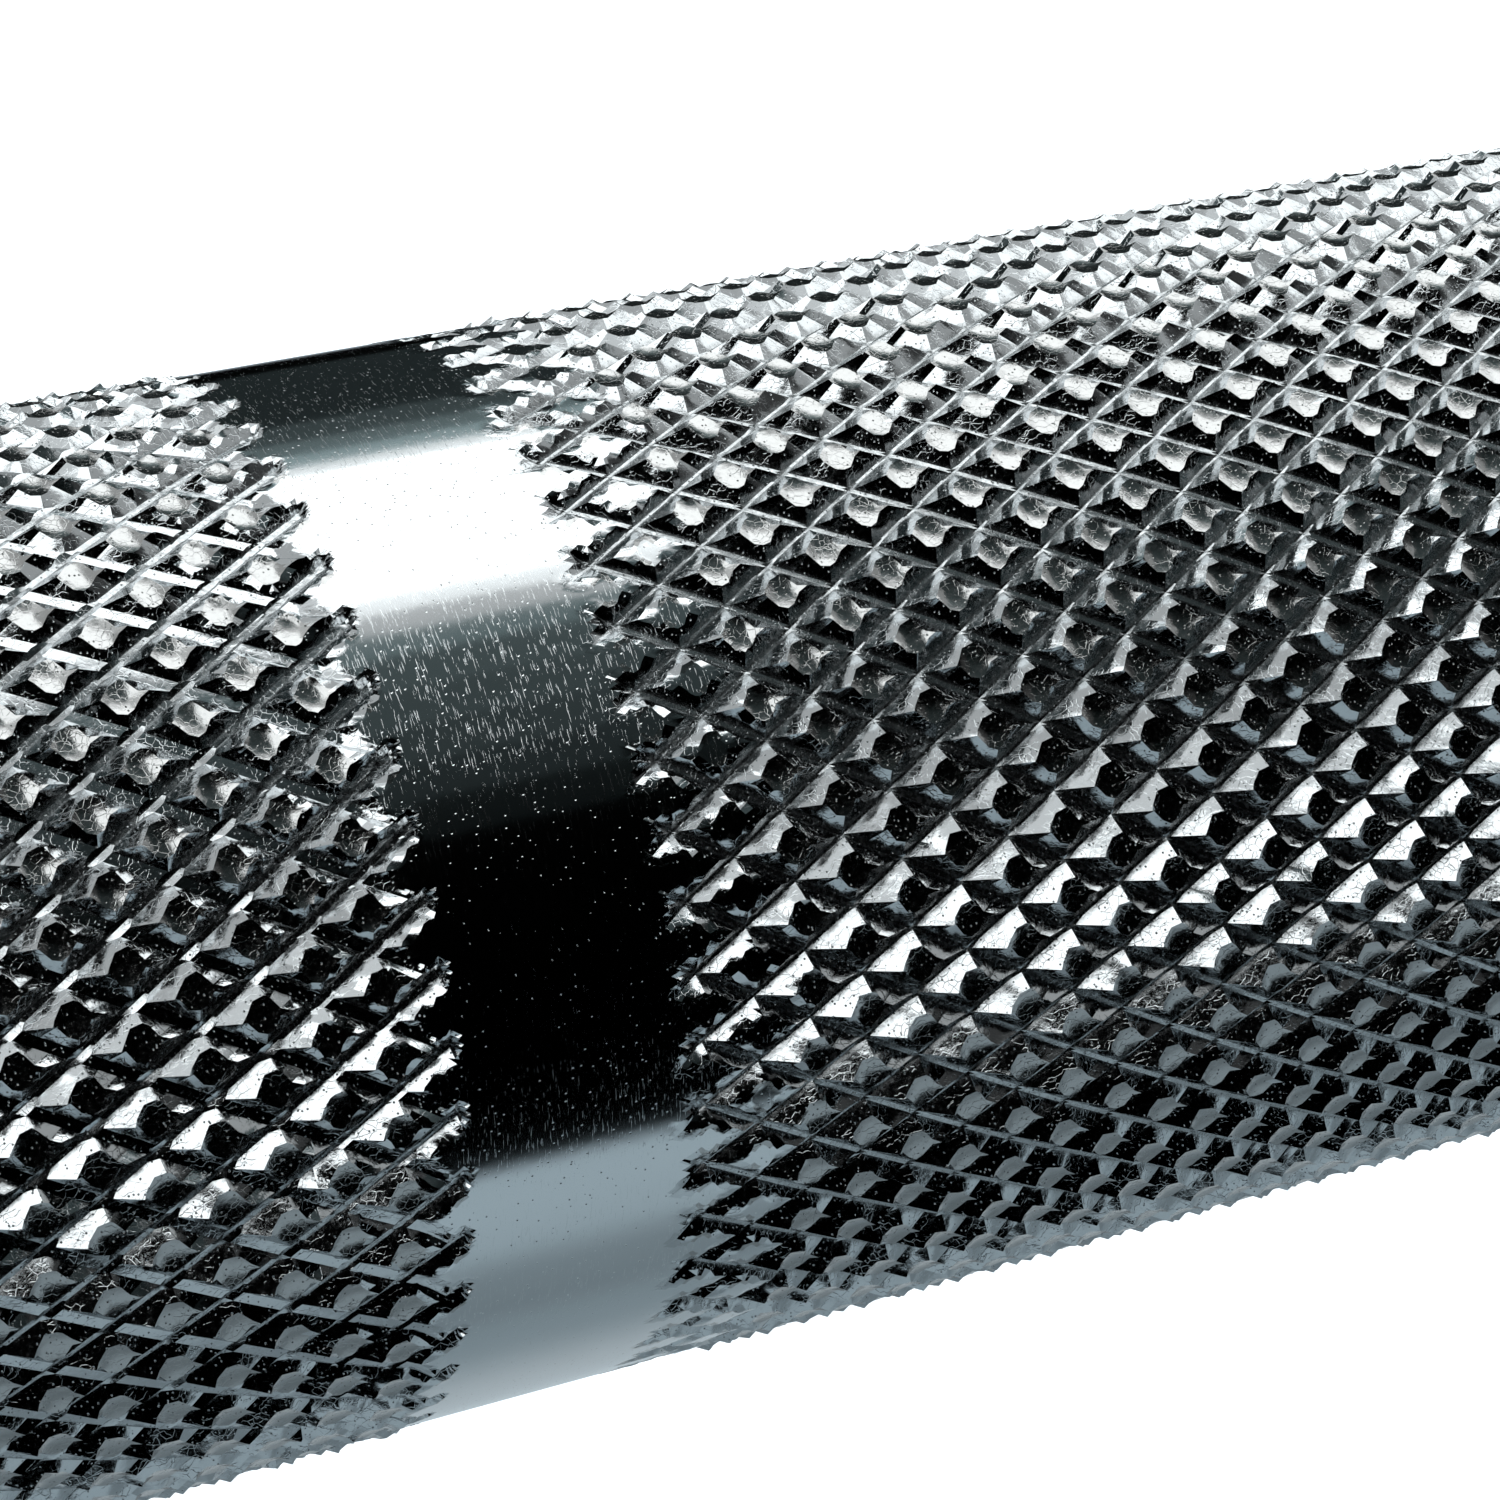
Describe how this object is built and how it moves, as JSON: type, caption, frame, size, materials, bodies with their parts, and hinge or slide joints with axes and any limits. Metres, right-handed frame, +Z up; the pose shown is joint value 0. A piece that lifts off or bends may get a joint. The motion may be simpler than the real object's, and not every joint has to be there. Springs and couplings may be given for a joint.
{
  "type": "olympic barbell",
  "caption": "Straight weightlifting bar: a slim knurled grip with smooth ring marks, shoulder collars and free-spinning sleeves that take weight plates.",
  "frame": {"origin": "middle of the grip, on the bar's axis", "axes": "+X along the bar to the right, +Z up, the bar level"},
  "size_m": [2.2, 0.079, 0.079],
  "materials": {
    "shaft_chrome": "bright hard chrome over knurled steel",
    "sleeve_chrome": "bright chrome, fine turning lines",
    "bearing_steel": "ground bearing steel",
    "bronze": "turned oil bronze",
    "seal_rubber": "matt black rubber",
    "spring_steel": "blackened spring steel",
    "cap_steel": "turned steel, bare face"
  },
  "bodies": {
    "shaft": {"shaft": "shaft_chrome", "left_thrust_washer": "bearing_steel", "left_shaft_snap_ring": "spring_steel", "right_thrust_washer": "bearing_steel", "right_shaft_snap_ring": "spring_steel"},
    "left_sleeve": {"left_sleeve_tube": "sleeve_chrome", "left_shoulder_collar": "sleeve_chrome", "left_dust_seal": "seal_rubber", "left_inner_bush": "bronze", "left_outer_bush": "bronze", "left_end_cap": "cap_steel", "left_end_snap_ring": "spring_steel", "left_needle_cup_1": "bearing_steel", "left_needle_cup_2": "bearing_steel", "left_needle_cup_3": "bearing_steel", "left_needle_cup_4": "bearing_steel"},
    "left_needle_sets": {"left_needle_cage_1": "bearing_steel", "left_needle_rollers_1": "bearing_steel", "left_needle_cage_2": "bearing_steel", "left_needle_rollers_2": "bearing_steel", "left_needle_cage_3": "bearing_steel", "left_needle_rollers_3": "bearing_steel", "left_needle_cage_4": "bearing_steel", "left_needle_rollers_4": "bearing_steel"},
    "right_sleeve": {"right_sleeve_tube": "sleeve_chrome", "right_shoulder_collar": "sleeve_chrome", "right_dust_seal": "seal_rubber", "right_inner_bush": "bronze", "right_outer_bush": "bronze", "right_end_cap": "cap_steel", "right_end_snap_ring": "spring_steel", "right_needle_cup_1": "bearing_steel", "right_needle_cup_2": "bearing_steel", "right_needle_cup_3": "bearing_steel", "right_needle_cup_4": "bearing_steel"},
    "right_needle_sets": {"right_needle_cage_1": "bearing_steel", "right_needle_rollers_1": "bearing_steel", "right_needle_cage_2": "bearing_steel", "right_needle_rollers_2": "bearing_steel", "right_needle_cage_3": "bearing_steel", "right_needle_rollers_3": "bearing_steel", "right_needle_cage_4": "bearing_steel", "right_needle_rollers_4": "bearing_steel"}
  },
  "joints": [
    {"name": "left_sleeve_spin", "type": "hinge", "parent": "shaft", "child": "left_sleeve", "pos_m": [-0.8775, 0, 0], "axis": [1, 0, 0], "continuous": true},
    {"name": "left_needle_set_orbit", "type": "hinge", "parent": "shaft", "child": "left_needle_sets", "pos_m": [-0.8775, 0, 0], "axis": [1, 0, 0], "continuous": true},
    {"name": "right_sleeve_spin", "type": "hinge", "parent": "shaft", "child": "right_sleeve", "pos_m": [0.8775, 0, 0], "axis": [1, 0, 0], "continuous": true},
    {"name": "right_needle_set_orbit", "type": "hinge", "parent": "shaft", "child": "right_needle_sets", "pos_m": [0.8775, 0, 0], "axis": [1, 0, 0], "continuous": true}
  ],
  "couplings": [
    {"joint": "left_needle_set_orbit", "follows": "left_sleeve_spin", "ratio": 0.5461},
    {"joint": "right_needle_set_orbit", "follows": "right_sleeve_spin", "ratio": 0.5461}
  ]
}
